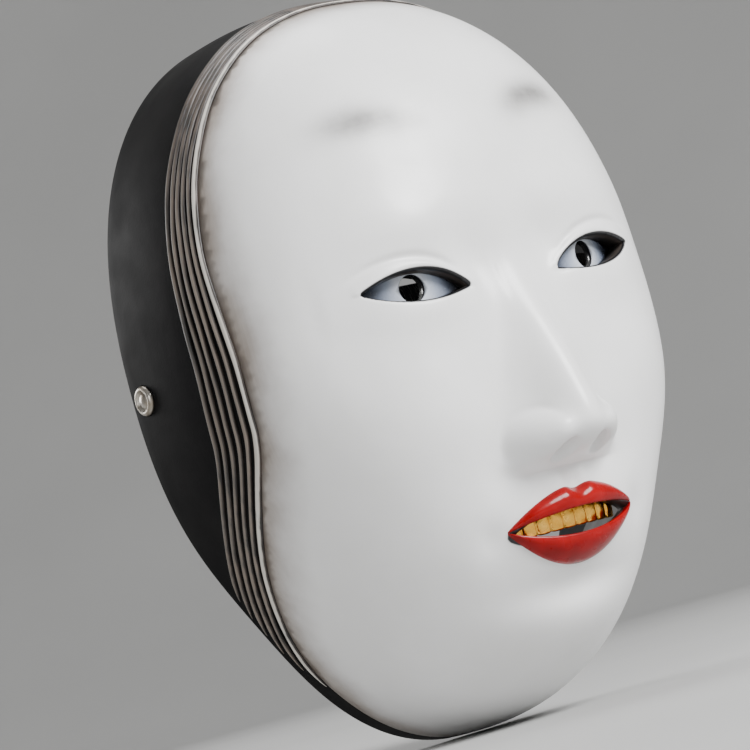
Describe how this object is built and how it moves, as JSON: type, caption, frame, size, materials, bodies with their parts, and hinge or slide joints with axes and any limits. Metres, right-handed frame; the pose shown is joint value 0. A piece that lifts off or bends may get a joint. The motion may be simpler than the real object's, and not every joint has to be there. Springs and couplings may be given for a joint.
{
  "type": "noh mask",
  "caption": "Wearable white mask of a young woman in the noh manner: black side wall, raised hair strands, red lips, riveted elastic head strap that swings.",
  "frame": {"origin": "middle of the hollow's mouth, in the plane of the back rim, level with the two strap rivets", "axes": "+Z towards the crown, -Y the way the face looks, +X towards the mask's own left ear"},
  "size_m": [0.163, 0.1052, 0.2257],
  "materials": {
    "white_lacquer": "satin-gloss white lacquer, greyed at the hairline",
    "black_lacquer": "satin black lacquer, faintly mottled",
    "strand_paint": "black strands rubbed back to cream on their crests",
    "eye_paint": "silver-blue paint shaded to black at the corners",
    "red_lacquer": "deep red gloss lacquer",
    "gilt": "gilt, polished",
    "rivet_metal": "dull nickel with a warm tarnish",
    "washer_rubber": "matt black rubber",
    "washer_steel": "plain zinc-plated steel",
    "elastic": "woven black elastic webbing",
    "slider_plastic": "moulded black plastic",
    "pad_cloth": "black brushed cloth over foam"
  },
  "bodies": {
    "mask": {"face_shell": "white_lacquer", "side_shell": "black_lacquer", "hair_strands_right": "strand_paint", "hair_strands_left": "strand_paint", "eye_insert_right": "eye_paint", "eye_insert_left": "eye_paint", "upper_lip": "red_lacquer", "lower_lip": "red_lacquer", "upper_teeth": "gilt", "rivet_right": "rivet_metal", "rivet_left": "rivet_metal", "spacer_washer_right": "washer_rubber", "spacer_washer_left": "washer_rubber", "back_washer_right": "washer_steel", "back_washer_left": "washer_steel", "rivet_cap_right": "rivet_metal", "rivet_cap_left": "rivet_metal", "forehead_pad": "pad_cloth", "cheek_pad_right": "pad_cloth", "cheek_pad_left": "pad_cloth"},
    "strap": {"head_strap": "elastic", "strap_eyelet_right": "washer_steel", "strap_eyelet_left": "washer_steel"},
    "slider": {"strap_slider": "slider_plastic"}
  },
  "joints": [
    {"name": "strap_swing", "type": "hinge", "parent": "mask", "child": "strap", "pos_m": [0, -0.008, 0], "axis": [-1, 0, 0], "range_deg": [0, 180]},
    {"name": "slider_travel", "type": "slide", "parent": "strap", "child": "slider", "axis": [1, 0, 0], "range_m": [-0.016, 0.016]}
  ]
}
